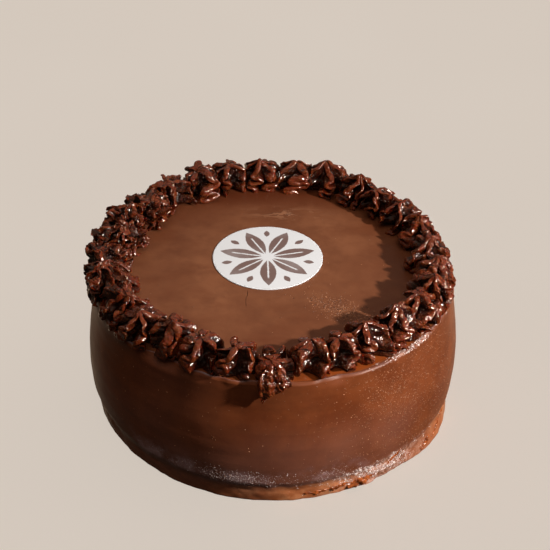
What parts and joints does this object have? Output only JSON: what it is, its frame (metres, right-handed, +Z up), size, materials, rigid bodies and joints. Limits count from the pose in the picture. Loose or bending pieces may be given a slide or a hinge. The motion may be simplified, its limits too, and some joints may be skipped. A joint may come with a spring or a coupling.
{
  "type": "sachertorte cake",
  "caption": "Uncut round chocolate cake with a smooth ganache coat, a ring of star-piped dollops on the top edge and a printed sugar disc.",
  "frame": {"origin": "centre of the flat underside of the drum, on its axis", "axes": "+Z up; -Y is the front, where one dollop droops over the edge; +X is to the right seen from the front"},
  "size_m": [0.2152, 0.2164, 0.0969],
  "materials": {
    "ganache": "satin",
    "piping": "satin",
    "sugar": "matte"
  },
  "bodies": {
    "root": {"drum": "ganache", "printed_disc": "sugar", "dollop_01": "piping", "dollop_02": "piping", "dollop_03": "piping", "dollop_04": "piping", "dollop_05": "piping", "dollop_06": "piping", "dollop_07": "piping", "dollop_08": "piping", "dollop_09": "piping", "dollop_10": "piping", "dollop_11": "piping", "dollop_12": "piping", "dollop_13": "piping", "dollop_14": "piping", "dollop_15": "piping", "dollop_16": "piping", "dollop_17": "piping", "dollop_18": "piping", "dollop_19": "piping", "dollop_20": "piping", "dollop_21": "piping", "dollop_22": "piping", "dollop_23": "piping", "dollop_24": "piping", "dollop_25": "piping", "dollop_26": "piping", "dollop_27": "piping", "dollop_28": "piping", "dollop_29": "piping"}
  },
  "joints": []
}
